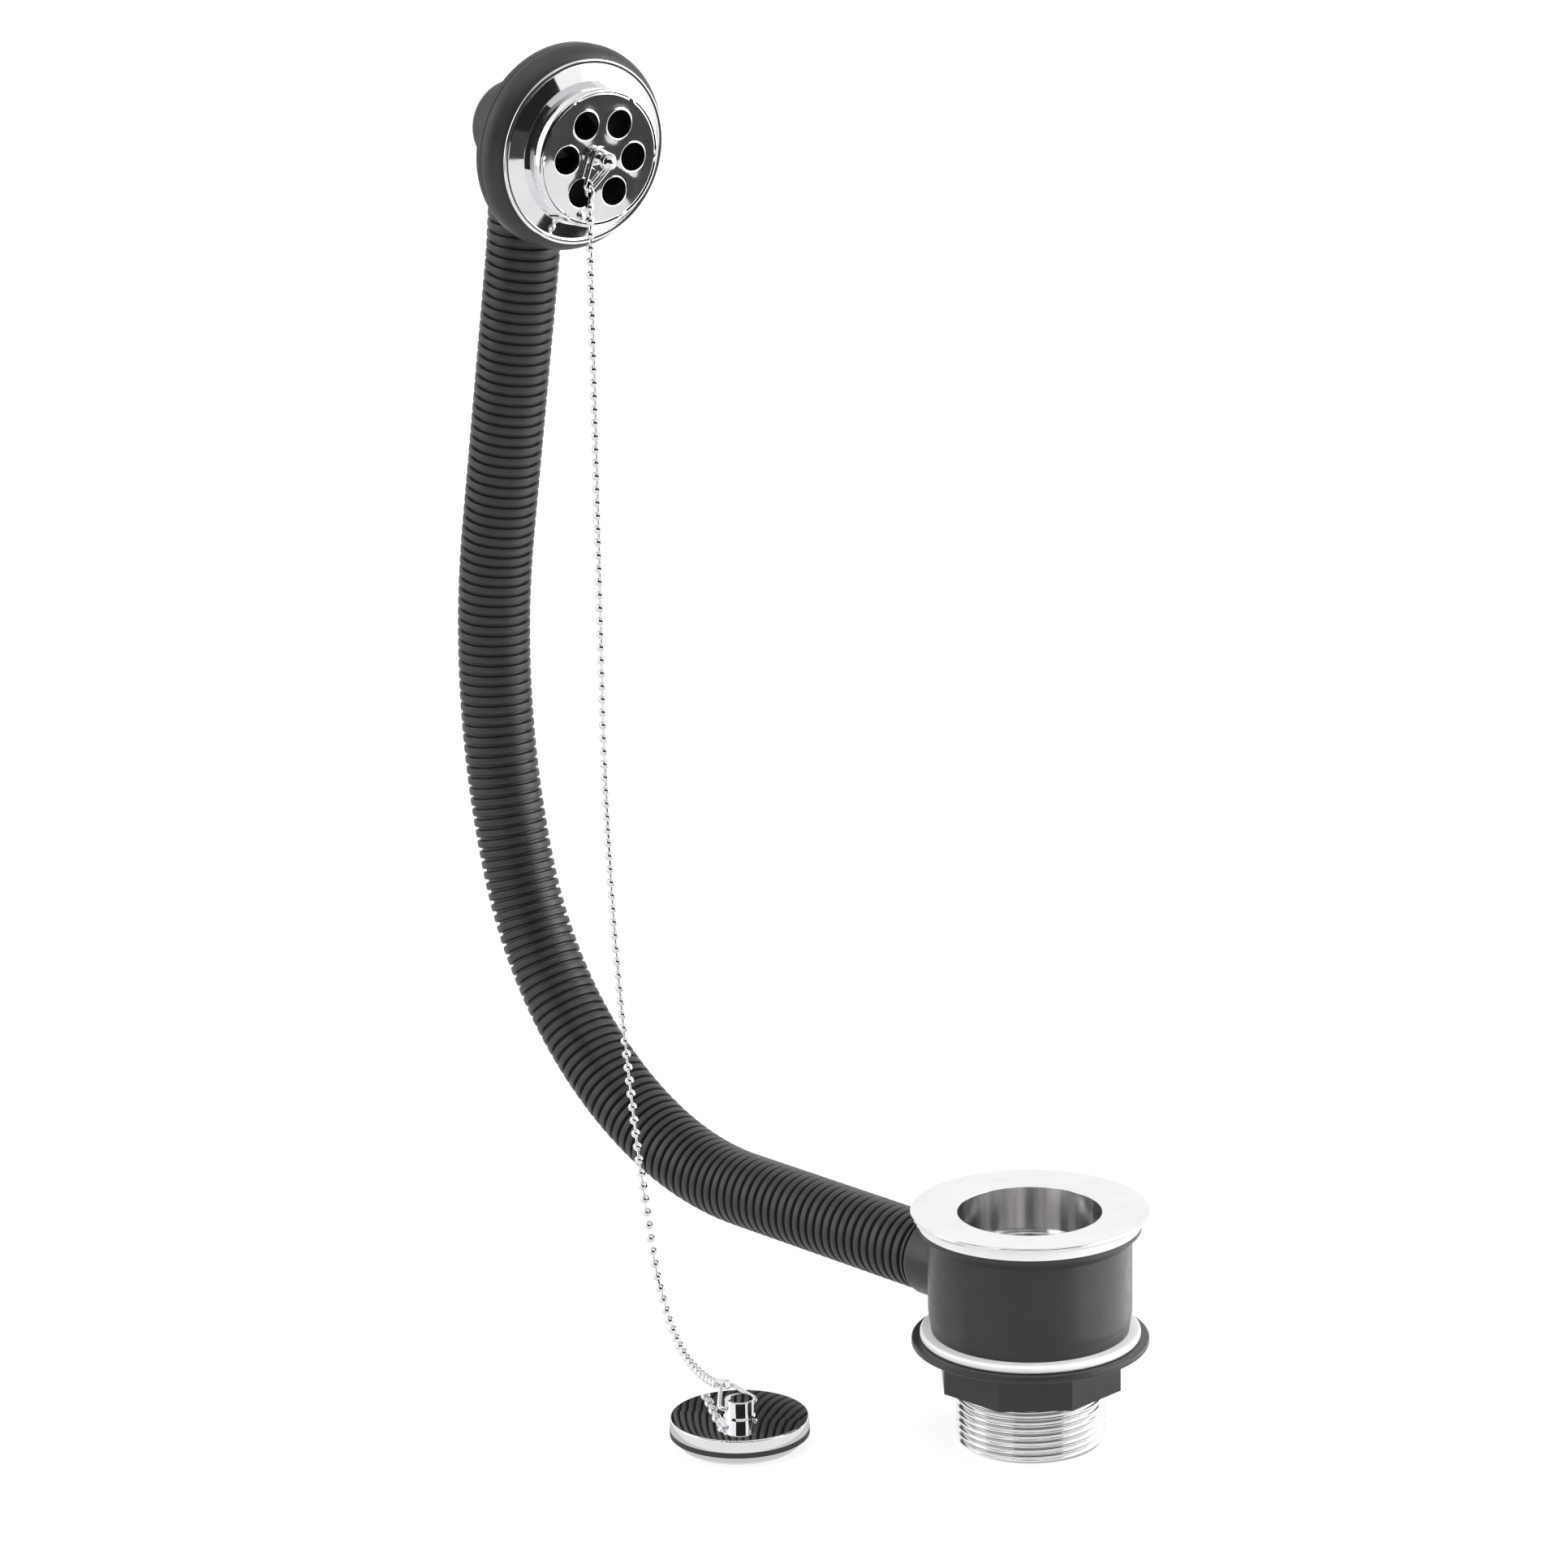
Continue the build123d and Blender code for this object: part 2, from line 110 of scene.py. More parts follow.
# Share of the way from one crest to the next, and share of the groove's depth there.
RIB_SECTION = (
    (0.00, 0.00), (0.17, 0.00), (0.29, 0.06), (0.335, 0.25),
    (0.36, 0.75), (0.39, 1.00), (0.50, 1.00),
)

# Overflow rose, from its face back, in the head's own frame.
ROSE_DEPTH = 11.4
PLATE_R = 23.2
PLATE_ROUND = 1.2
CROWN_R = 24.0
CROWN_DEPTH = 8.5
CROWN_FILLET = 0.3
BRIM_R = 29.3
BRIM_BACK = 9.9
BRIM_END = 0.3
STEP_ROUND = 0.5
STEP_OUT = 0.35
STEP_UP = 0.05
RIM_R = 31.0
RIM_PROUD = 0.5
RIM_ROUND = 0.55
RIM_DROP = 0.5
ROSE_WALL = 1.1
HOLES = 6
HOLE_D = 9.5
HOLE_RING_R = 12.9
HOLE_PHASE = 32.0
HOLE_LIP = 0.07
HOLE_LIP_W = 0.22
HOLE_SWELL = 0.09
HOLE_SWELL_W = 2.0
SCREW_HOLE_R = 2.5
PLATE_DOME = 0.25

# The rose's mesh: rings of points round each hole and round the middle.
ROSE_SIDES = 144
HOLE_SIDES = 48
SCREW_HOLE_SIDES = 32
LIP_RINGS = (0.1, 0.2, 0.32, 0.5, 0.75, 1.05, 1.45)
LIP_CLEAR = 1.9
PLATE_RINGS = 26
PLATE_DENSITY = 6.5
PLATE_FEWEST = 24
PLATE_STAGGER = 0.37
HOLE_SLACK = 0.02
FLAT_NEAR = 1e-7

# What reflections show round the stage, in metres and degrees.
CAMERA_CARD_W = 3.1
CAMERA_CARD_H = 2.2
CAMERA_CARD_SHIFT = 0.5
CAMERA_CARD_BACK = 0.3
ROOM_REACH = 9.0
ROOM_TOP = 2.2
FLAG_REACH = 0.35
GAP_HEIGHT = 0.2
STRIP_REACH = 0.08
STRIP_FOOT = 0.009
STRIP_TOP = 0.055
STRIP_BACK = -0.09
STRIP_FRONT = 0.086
OVERHEAD_HEIGHT = 2.0
OVERHEAD_WIDTH = 2.4
PLUG_SHADE_R = 0.034
PLUG_SHADE_SIDES = 48

# The floor lies just under the object, and the cards on it lie one above another.
FLOOR_GAP = 0.0002
FLOOR_SIZE = 24
TABLE_SIZE = 9
TABLE_LIFT = 0.0003
PANEL_LIFT = 0.0006
UNDER_ROSE_LIFT = 0.0009
SHADE_LIFT = 0.001
ROOM_FLOOR_LIFT = 0.0012

# Lights: two soft boxes at the sides, and a broad one overhead.
BOX_REACH = 1.5
BOX_H = 1.4
RIGHT_BOX_LIFT = 0.35
RIGHT_BOX_W = 1.2
RIGHT_BOX_WATTS = 18
LEFT_BOX_LIFT = 0.5
LEFT_BOX_W = 0.7
LEFT_BOX_WATTS = 4
SUN_POWER = 0.9
SUN_SPREAD = 50
SUN_TILT = (15, 12)

# Ball chain.
BEAD_R = 1.55
BEAD_SIDES = 24
BEAD_STEPS = 14
BEAD_POLE = 1e-4
BEAD_LINK = 0.95  # share of a bead's radius that its neighbouring points lie within
PIN_R = 0.4
PIN_SET = 0.8
PIN_SIDES = 10

# Meshes: what counts as one point, in metres, and as a sharp edge, in degrees.
MERGE_NEAR = 1e-7
WELD_NEAR = 1e-6
SHARP_ANGLE = 32
SPLIT_ANGLE = 28

# Finishes: where noise is spread from and to, and how deep a grain or a groove is, in metres.
NOISE_LOW = 0.3
NOISE_HIGH = 0.7
PATCH_SCALE = 90.0
ROUGH_PATCH = 2.3  # gloss drifts over smaller patches than colour
GRAIN_DEPTH = 0.0002
GRAIN_DETAIL = 4.0
GROOVE_DEPTH = 0.0001
GROOVE_STRENGTH = 0.05
GROOVE_SCALE = 260
GROOVE_STRETCH = (0.3, 0.3, 14)
# Painted reflection streaks in the bore's colour, drawn out along its axis.
PAINTED_STREAK_SCALE = 230
PAINTED_STREAK_DETAIL = 2.0
PAINTED_STREAK_STRETCH = (1, 1, 0.03)
BRUSHED = 0.85
BRUSHED_TURN = 0.25
THREAD_PATCH_SCALE = 300
THREAD_GRAIN_SCALE = 900
THREAD_GRAIN = 0.02
WARM = (1.0, 0.93, 0.98)


def socket(node, name, value):
    node.inputs[name].default_value = value


def new_material(name, colour, roughness, metallic=0.0):
    made = bpy.data.materials.new(name)
    made.use_nodes = True
    shader = made.node_tree.nodes["Principled BSDF"]
    socket(shader, "Base Color", (*colour, 1))
    socket(shader, "Roughness", roughness)
    socket(shader, "Metallic", metallic)
    return made, shader


def noise(material, scale, detail=3.0, stretch=(1, 1, 1)):
    """Noise over the piece's own coordinates, which are metres."""
    nodes, links = material.node_tree.nodes, material.node_tree.links
    place = nodes.new("ShaderNodeTexCoord")
    mapping = nodes.new("ShaderNodeMapping")
    socket(mapping, "Scale", stretch)
    texture = nodes.new("ShaderNodeTexNoise")
    socket(texture, "Scale", scale)
    socket(texture, "Detail", detail)
    links.new(place.outputs["Object"], mapping.inputs["Vector"])
    links.new(mapping.outputs["Vector"], texture.inputs["Vector"])
    return texture.outputs["Fac"]


def vary(material, value, low, high):
    """A noise value spread over low to high."""
    spread = material.node_tree.nodes.new("ShaderNodeMapRange")
    socket(spread, "From Min", NOISE_LOW)
    socket(spread, "From Max", NOISE_HIGH)
    socket(spread, "To Min", low)
    socket(spread, "To Max", high)
    material.node_tree.links.new(value, spread.inputs["Value"])
    return spread.outputs["Result"]


def tint(material, value, low, high):
    """A noise value turned into a colour between low and high."""
    ramp = material.node_tree.nodes.new("ShaderNodeValToRGB")
    ramp.color_ramp.elements[0].position = NOISE_LOW
    ramp.color_ramp.elements[0].color = (*low, 1)
    ramp.color_ramp.elements[1].position = NOISE_HIGH
    ramp.color_ramp.elements[1].color = (*high, 1)
    material.node_tree.links.new(value, ramp.inputs["Fac"])
    return ramp.outputs["Color"]


def bump(material, shader, value, strength, distance):
    made = material.node_tree.nodes.new("ShaderNodeBump")
    socket(made, "Strength", strength)
    socket(made, "Distance", distance)
    material.node_tree.links.new(value, made.inputs["Height"])
    material.node_tree.links.new(made.outputs["Normal"], shader.inputs["Normal"])


def finish_of(name, low, high, rough, grain_scale, grain, metallic=0.0, gloss=(1, 1, 1)):
    """A finish whose colour and gloss drift over the surface, with a fine grain."""
    material, shader = new_material(name, high, rough[0], metallic)
    socket(shader, "Specular Tint", (*gloss, 1))
    link = material.node_tree.links.new
    link(tint(material, noise(material, PATCH_SCALE), low, high), shader.inputs["Base Color"])
    patches = noise(material, PATCH_SCALE * ROUGH_PATCH)
    link(vary(material, patches, *rough), shader.inputs["Roughness"])
    bump(material, shader, noise(material, grain_scale, GRAIN_DETAIL), grain, GRAIN_DEPTH)
    return material


def threaded_finish(name, painted_root_shade, crest_colour, rough):
    """Plated thread: bright crests, and painted shade in the roots, where little light gets in."""
    material, shader = new_material(name, crest_colour, rough[0], 1.0)
    nodes, link = material.node_tree.nodes, material.node_tree.links.new
    place = nodes.new("ShaderNodeTexCoord")
    flat = nodes.new("ShaderNodeVectorMath")
    flat.operation = "MULTIPLY"
    flat.inputs[1].default_value = (1, 1, 0)
    reach = nodes.new("ShaderNodeVectorMath")
    reach.operation = "LENGTH"
    depth = nodes.new("ShaderNodeMapRange")
    socket(depth, "From Min", (TAIL_D / 2 - THREAD_DEPTH) * MM)
    socket(depth, "From Max", (TAIL_D / 2 - THREAD_BRIGHT * THREAD_DEPTH) * MM)
    link(place.outputs["Object"], flat.inputs[0])
    link(flat.outputs["Vector"], reach.inputs[0])
    link(reach.outputs["Value"], depth.inputs["Value"])
    # Painted shade: the base colour darkens from the crests down into the roots.
    colour = tint(material, depth.outputs["Result"], painted_root_shade, crest_colour)
    link(colour, shader.inputs["Base Color"])
    patches = noise(material, THREAD_PATCH_SCALE)
    link(vary(material, patches, *rough), shader.inputs["Roughness"])
    bump(material, shader, noise(material, THREAD_GRAIN_SCALE), THREAD_GRAIN, GRAIN_DEPTH)
    return material


def turned_finish(name, low, high, rough):
    """Metal turned on a lathe: fine grooves round the axis, which draw reflections out along it, and
    painted reflection streaks along the axis in its colour.
    """
    material, shader = new_material(name, high, rough, 1.0)
    link = material.node_tree.links.new
    streaks = noise(material, PAINTED_STREAK_SCALE, PAINTED_STREAK_DETAIL, PAINTED_STREAK_STRETCH)
    # Painted reflection: light and dark streaks in the base colour.
    link(tint(material, streaks, low, high), shader.inputs["Base Color"])
    grooves = noise(material, GROOVE_SCALE, stretch=GROOVE_STRETCH)
    bump(material, shader, grooves, GROOVE_STRENGTH, GROOVE_DEPTH)
    tangent = material.node_tree.nodes.new("ShaderNodeTangent")
    tangent.direction_type = "RADIAL"
    tangent.axis = "Z"
    link(tangent.outputs["Tangent"], shader.inputs["Tangent"])
    socket(shader, "Anisotropic", BRUSHED)
    socket(shader, "Anisotropic Rotation", BRUSHED_TURN)
    return material


CHROME = finish_of(
    "chrome_plate",
    low=(0.86, 0.865, 0.88),
    high=(0.92, 0.925, 0.935),
    rough=(0.02, 0.05),
    grain_scale=300,
    grain=0.002,
    metallic=1.0,
)
PRESSED = finish_of(
    "pressed_chrome",
    low=(0.84, 0.845, 0.86),
    high=(0.91, 0.915, 0.925),
    rough=(0.03, 0.07),
    grain_scale=110,
    grain=0.035,
    metallic=1.0,
)
# Its darker roots are painted shade.
THREADED = threaded_finish(
    "threaded_chrome",
    painted_root_shade=(0.48, 0.47, 0.48),
    crest_colour=(0.92, 0.92, 0.93),
    rough=(0.10, 0.18),
)
# Its light and dark streaks are painted reflection.
BORE = turned_finish(
    "turned_bore",
    low=(0.60, 0.585, 0.59),
    high=(1.0, 0.99, 0.99),
    rough=0.20,
)
WHITE = finish_of(
    "white_polythene",
    low=(0.77, 0.77, 0.775),
    high=(0.82, 0.82, 0.825),
    rough=(0.4, 0.52),
    grain_scale=1500,
    grain=0.05,
)
RUBBER = finish_of(
    "black_rubber",
    low=(0.021, 0.0195, 0.0205),
    high=(0.027, 0.025, 0.0265),
    rough=(0.40, 0.50),
    grain_scale=2200,
    grain=0.10,
    gloss=WARM,
)
PLASTIC = finish_of(
    "black_plastic",
    low=(0.016, 0.0145, 0.0155),
    high=(0.022, 0.020, 0.0215),
    rough=(0.30, 0.38),
    grain_scale=2600,
    grain=0.06,
    gloss=WARM,
)
HOSE = finish_of(
    "black_hose",
    low=(0.016, 0.0148, 0.0156),
    high=(0.021, 0.0195, 0.0205),
    rough=(0.34, 0.46),
    grain_scale=2000,
    grain=0.08,
    gloss=WARM,
)
# Darkened well below bright brass: partly dull brass, partly painted shade, as the insert sits deep
# behind the rose's holes.
BRASS = finish_of(
    "turned_brass",
    low=(0.12, 0.085, 0.04),
    high=(0.19, 0.14, 0.065),
    rough=(0.5, 0.65),
    grain_scale=1200,
    grain=0.05,
    metallic=1.0,
)


def mesh_object(name, bm, material, slot, *replaced):
    """A new piece of the object, riding on the one body."""
    bmesh.ops.remove_doubles(bm, verts=bm.verts, dist=MERGE_NEAR)
    bmesh.ops.recalc_face_normals(bm, faces=bm.faces)
    mesh = bpy.data.meshes.new(name)
    bm.to_mesh(mesh)
    bm.free()
    mesh.materials.append(material)
    made = bpy.data.objects.new(name, mesh)
    bpy.context.scene.collection.objects.link(made)
    smooth(mesh)
    steady_normals(made)
    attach(made, "root")
    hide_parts(*replaced)
    return made


def smooth(mesh):
    """Smooth shading, apart from sharp edges."""
    mesh.polygons.foreach_set("use_smooth", [True] * len(mesh.polygons))
    mesh.set_sharp_from_angle(angle=math.radians(SHARP_ANGLE))


def steady_normals(piece):
    """Large flat faces keep their own normal beside small rounded ones."""
    weighted = piece.modifiers.new("normals", "WEIGHTED_NORMAL")
    weighted.mode = "FACE_AREA"
    weighted.keep_sharp = True


def skin(bm, rows, closed):
    """Faces between rows of points. Each row runs round once, and the rows may close on themselves."""
    made = [[bm.verts.new(p) for p in row] for row in rows]
    pairs = list(zip(made, made[1:] + made[:1])) if closed else list(zip(made, made[1:]))
    for here, there in pairs:
        for k in range(len(here)):
            after = (k + 1) % len(here)
            bm.faces.new((here[k], here[after], there[after], there[k]))
    return made


def turn_of(k, sides):
    return 2 * math.pi * k / sides


def hoop(radius, height, sides):
    """A level ring of points."""
    angles = [turn_of(k, sides) for k in range(sides)]
    return [Vector((radius * math.cos(a), radius * math.sin(a), height)) * MM for a in angles]


def arc(centre, radius, start, stop, steps):
    """Points (r, z) on an arc, with its angles in degrees from +r towards +z."""
    angles = [math.radians(start + (stop - start) * k / steps) for k in range(steps + 1)]
    return [(centre[0] + radius * math.cos(a), centre[1] + radius * math.sin(a)) for a in angles]


def boolean_cut(target, cutter):
    """Takes the cutter out of the target for good, then deletes the cutter."""
    step = target.modifiers.new("cut", "BOOLEAN")
    step.operation = "DIFFERENCE"
    step.object = cutter
    step.solver = "EXACT"
    graph = bpy.context.evaluated_depsgraph_get()
    cut = bpy.data.meshes.new_from_object(target.evaluated_get(graph))
    target.modifiers.remove(step)
    target.data = cut
    smooth(cut)
    bpy.data.objects.remove(cutter)


# Waste: flange, plug seat and a tail with a true helical thread.
waste_low, waste_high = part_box("waste_body")
flange_top, tail_end = waste_high.z / MM, waste_low.z / MM
flange_r = waste_high.x / MM


def tail_radius(height, share):
    """The tail's radius at a height, where share is how far round the thread's section the point is."""
    run_out = min(1.0, (THREAD_TOP - height) / THREAD_PITCH)
    lead_in = min(1.0, (height - tail_end) / TAIL_CHAMFER)
    flank = (abs(2 * share - 1) - THREAD_FLAT) / (1 - 2 * THREAD_FLAT)
    cut = THREAD_DEPTH * run_out * (1 - min(1.0, max(0.0, flank)))
    return TAIL_D / 2 - max(cut, THREAD_DEPTH * (1 - lead_in))


def thread(bm):
    """The thread's skin. Each row follows the helix, and stops level with the tail's two ends."""
    drop = THREAD_PITCH / THREAD_ROWS
    count = math.ceil((THREAD_TOP - tail_end) / drop) + THREAD_ROWS
    grid = []
    for k in range(count + 1):
        row = []
        for j in range(WASTE_SIDES):
            height = THREAD_TOP - drop * k + THREAD_PITCH * j / WASTE_SIDES
            height = min(THREAD_TOP, max(tail_end, height))
            radius = tail_radius(height, k % THREAD_ROWS / THREAD_ROWS)
            angle = turn_of(j, WASTE_SIDES)
            spot = Vector((radius * math.cos(angle), radius * math.sin(angle), height))
            row.append(bm.verts.new(spot * MM))
        grid.append(row)
    for k in range(count):
        for j in range(WASTE_SIDES):
            # At the seam a row joins the one that is a full turn further on.
            seam = j == WASTE_SIDES - 1
            here, there = (max(0, k + i - THREAD_ROWS) if seam else k + i for i in (0, 1))
            after = (j + 1) % WASTE_SIDES
            corners = (grid[k][j], grid[here][after], grid[there][after], grid[k + 1][j])
            # Corners that fall together at the tail's ends are used once.
            bm.faces.new(dict.fromkeys(corners))


flange_foot = flange_top - FLANGE_LIP
seat_top = flange_top - FLANGE_DISH
ledge, cup_foot = flange_top - SEAT_DEPTH, flange_top - CUP_DEPTH
outer = [
    (SEAT_D / 2, ledge),
    *arc((SEAT_D / 2 + SEAT_EDGE, seat_top - SEAT_EDGE), SEAT_EDGE, 180, 94, 3),
    (flange_r - FLANGE_RIM, flange_top),
    *arc((flange_r - FLANGE_ROUND, flange_top - FLANGE_ROUND), FLANGE_ROUND, 90, 0, 6),
    (flange_r, flange_foot),
    (CUP_D / 2, flange_foot),
    (CUP_D / 2, cup_foot),
    (TAIL_D / 2, cup_foot),
    (TAIL_D / 2, THREAD_TOP),
]
inner = [
    (TAIL_D / 2 - THREAD_DEPTH, tail_end),
    (TAIL_BORE_D / 2, tail_end),
    (TAIL_BORE_D / 2, ledge - LEDGE_ROUND),
    *arc((TAIL_BORE_D / 2 + LEDGE_ROUND, ledge - LEDGE_ROUND), LEDGE_ROUND, 180, 90, 3),
    (SEAT_D / 2, ledge),
]
bm = bmesh.new()
for section in (outer, inner):
    skin(bm, [hoop(r, z, WASTE_SIDES) for r, z in section], False)
thread(bm)
waste = mesh_object("waste_fitting", bm, CHROME, "chrome", "waste_body")

# Slots through the tail into the banjo body.
bm = bmesh.new()
for k in range(SLOTS):
    way = Matrix.Rotation(turn_of(k + 0.5, SLOTS), 3, "Z")
    ends = []
    for reach in (TAIL_BORE_D / 2 - SLOT_IN, TAIL_D / 2 + SLOT_OUT):
        straight = (SLOT_H - SLOT_W) / 2
        outline = arc((0, straight), SLOT_W / 2, 0, 180, SLOT_SIDES)
        outline += arc((0, -straight), SLOT_W / 2, 180, 360, SLOT_SIDES)
        ends.append([way @ Vector((reach, y, SLOT_Z + z)) * MM for y, z in outline])
    made = skin(bm, ends, False)
    bm.faces.new(made[0])
    bm.faces.new(list(reversed(made[1])))
bmesh.ops.recalc_face_normals(bm, faces=bm.faces)
slot_mesh = bpy.data.meshes.new("slot_cutters")
bm.to_mesh(slot_mesh)
bm.free()
slot_cutters = bpy.data.objects.new("slot_cutters", slot_mesh)
bpy.context.scene.collection.objects.link(slot_cutters)
boolean_cut(waste, slot_cutters)
waste.data.materials.append(BORE)
waste.data.materials.append(THREADED)
BORE_INDEX = 1
THREADED_INDEX = 2
for face in waste.data.polygons:
    reach = face.center.xy.length / MM
    if reach > TAIL_D / 2 - THREAD_REACH * THREAD_DEPTH and face.center.z < THREAD_TOP * MM:
        face.material_index = THREADED_INDEX
    elif reach < SEAT_D / 2 + SEAT_EDGE / 2 and abs(face.normal.z) < 0.5:
        face.material_index = BORE_INDEX


# Hose: the crest and groove centres come from the frame, and the ribs get their true section.
def hose_centres(radius):
    """Centres of the hose's rings of one radius, in order down the hose, from the points nearest +Y."""
    found = {}
    for vertex in NODES["overflow_hose"].data.vertices:
        if abs(vertex.co.y - radius * MM) < HOSE_NEAR:
            spot = (round(vertex.co.x, 5), round(vertex.co.z, 5))
            found[spot] = Vector((vertex.co.x, 0, vertex.co.z))
    return sorted(found.values(), key=lambda c: 0.5 * c.x - c.z)


def hose_rings(crests):
    """(centre, direction, radius) of each ring of the hose's outside."""
    ways = []
    for k in range(len(crests)):
        ahead = crests[min(k + 1, len(crests) - 1)] - crests[max(k - 1, 0)]
        ways.append(ahead.normalized())
    section = [(1 - u, d) for u, d in reversed(RIB_SECTION)]
    section = list(RIB_SECTION) + section[1:-1]
    for k in range(len(crests) - 1):
        for share, depth in section:
            centre = crests[k].lerp(crests[k + 1], share)
            way = ways[k].lerp(ways[k + 1], share).normalized()
            yield centre, way, HOSE_D / 2 - HOSE_GROOVE * depth
    yield crests[-1], ways[-1], HOSE_D / 2


def ring_round(centre, way, radius, sides):
    side = Vector((0, 1, 0))
    other = way.cross(side)
    return [
        centre + (side * math.cos(a) + other * math.sin(a)) * radius * MM
        for a in (turn_of(k, sides) for k in range(sides))
    ]


crests = hose_centres(HOSE_D / 2)
rings = list(hose_rings(crests))
rows = [ring_round(c, w, r, HOSE_SIDES) for c, w, r in rings]
bore_rings = reversed(rings[::HOSE_BORE_STEP])
rows += [ring_round(c, w, HOSE_BORE_D / 2, HOSE_SIDES) for c, w, _ in bore_rings]
bm = bmesh.new()
skin(bm, rows, True)
mesh_object("ribbed_hose", bm, HOSE, "black_hose", "overflow_hose")

# Overflow head's frame: x out of the rose's face, z up along the elbow.
seat = next(m for m in frame["record"]["mounts"] if m["name"] == "overflow_seat")
forward = Vector(seat["axis"])
upright = Vector((-forward.z, 0, forward.x)).normalized()
face_at = Vector(seat["pos_m"]) + forward * ROSE_DEPTH * MM
head = Matrix((forward, upright.cross(forward), upright)).transposed().to_4x4()
head.translation = face_at

# Rose: a pressed sheet with lipped holes, thickened into a shell.
plate_edge = PLATE_R - PLATE_ROUND
hole_centres = [
    Vector((HOLE_RING_R * math.sin(a), HOLE_RING_R * math.cos(a)))
    for a in (math.radians(HOLE_PHASE) + turn_of(k, HOLES) for k in range(HOLES))
]


def plate_height(at):
    """How far the pressed face stands forward: a slight dome, and a lip round each hole."""
    height = -PLATE_DOME * (at.length / plate_edge) ** 2
    for centre in hole_centres:
        edge = max(0.0, (at - centre).length - HOLE_D / 2)
        height += HOLE_LIP * math.exp(-((edge / HOLE_LIP_W) ** 2))
        height += HOLE_SWELL * math.exp(-((edge / HOLE_SWELL_W) ** 2))
    return height


def circle_points(centre, radius, count, phase=0.0):
    return [
        centre + Vector((math.cos(a), math.sin(a))) * radius
        for a in (turn_of(k + phase, count) for k in range(count))
    ]


points, loops = [], []
rose_middle = Vector((0, 0))
rims = [(rose_middle, plate_edge, ROSE_SIDES)]
rims += [(c, HOLE_D / 2, HOLE_SIDES) for c in hole_centres]
rims += [(rose_middle, SCREW_HOLE_R, SCREW_HOLE_SIDES)]
for centre, radius, count in rims:
    loops.append((len(points), count))
    points += circle_points(centre, radius, count)
for c in hole_centres:
    for grow in LIP_RINGS:
        points += circle_points(c, HOLE_D / 2 + grow, HOLE_SIDES, grow)
for ring in range(1, PLATE_RINGS):
    radius = SCREW_HOLE_R + (plate_edge - SCREW_HOLE_R) * ring / PLATE_RINGS
    count = max(PLATE_FEWEST, round(radius * PLATE_DENSITY))
    for p in circle_points(rose_middle, radius, count, ring * PLATE_STAGGER):
        if all((p - c).length > HOLE_D / 2 + LIP_CLEAR for c in hole_centres):
            points.append(p)
edges = [(start + k, start + (k + 1) % count) for start, count in loops for k in range(count)]
cdt = geometry.delaunay_2d_cdt([p.to_2d() for p in points], edges, [], 0, FLAT_NEAR)
flat_points, flat_faces = cdt[0], cdt[2]


def is_hole(face):
    """Whether a face lies in a hole, or outside the plate."""
    middle = sum((flat_points[i] for i in face), Vector((0, 0))) / len(face)
    in_round = any((middle - c).length < HOLE_D / 2 - HOLE_SLACK for c in hole_centres)
    return in_round or middle.length < SCREW_HOLE_R - HOLE_SLACK or middle.length > plate_edge


bm = bmesh.new()
verts = [bm.verts.new(head @ (Vector((plate_height(p), p.x, p.y)) * MM)) for p in flat_points]
for face in flat_faces:
    if not is_hole(face):
        bm.faces.new([verts[i] for i in face])
edge_x = plate_height(Vector((plate_edge, 0)))
profile = [(plate_edge, edge_x)]
profile += arc((plate_edge, -PLATE_ROUND), PLATE_ROUND, 90, 4, 8)[1:]
crown_foot = (CROWN_R + CROWN_FILLET, CROWN_FILLET - CROWN_DEPTH)
profile += arc(crown_foot, CROWN_FILLET, 184, 254, 6)
profile += [(BRIM_R - BRIM_END, -BRIM_BACK)]
profile += arc((BRIM_R + STEP_OUT, -BRIM_BACK + STEP_UP), STEP_ROUND, 200, 95, 5)
profile += arc((RIM_R - RIM_ROUND, -BRIM_BACK + RIM_PROUD - RIM_DROP), RIM_ROUND, 90, 0, 6)
profile += [(RIM_R, -ROSE_DEPTH)]
rows = []
for radius, x in profile:
    circle = circle_points(rose_middle, radius, ROSE_SIDES)
    rows.append([head @ (Vector((x, p.x, p.y)) * MM) for p in circle])
skin(bm, rows, False)
rose = mesh_object("pressed_rose", bm, PRESSED, "chrome", "overflow_rose")
if rose.data.polygons[0].normal.dot(forward) < 0:
    rose.data.flip_normals()
shell = rose.modifiers.new("sheet", "SOLIDIFY")
shell.thickness = ROSE_WALL * MM
shell.offset = -1
rose.modifiers.move(1, 0)


# Ball chain: a smooth bead and pin wherever the frame has one.
def bead_centres():
    """Centres of the frame's beads, in order from the overflow to the plug."""
    spots = [v.co.copy() for v in NODES["chain_beads"].data.vertices]
    tree = kdtree.KDTree(len(spots))
    for k, spot in enumerate(spots):
        tree.insert(spot, k)
    tree.balance()
    seen, centres = set(), []
    for k in range(len(spots)):
        if k in seen:
            continue
        seen.add(k)
        group, todo = [], [k]
        while todo:
            here = todo.pop()
            group.append(spots[here])
            for _, other, _ in tree.find_range(spots[here], BEAD_LINK * BEAD_R * MM):
                if other not in seen:
                    seen.add(other)
                    todo.append(other)
        low = Vector([min(p[i] for p in group) for i in range(3)])
        high = Vector([max(p[i] for p in group) for i in range(3)])
        centres.append((low + high) / 2)
    top = max(centres, key=lambda c: c.z)
    return sorted(centres, key=lambda c: (c.xy - top.xy).length - c.z)


def tube_rows(start, way, section, sides):
    """Rings of points along a straight axis. The section lists (distance along, radius)."""
    side = way.orthogonal().normalized()
    other = way.cross(side)
    return [
        [
            start + way * along * MM + (side * math.cos(a) + other * math.sin(a)) * radius * MM
            for a in (turn_of(k, sides) for k in range(sides))
        ]
        for along, radius in section
    ]


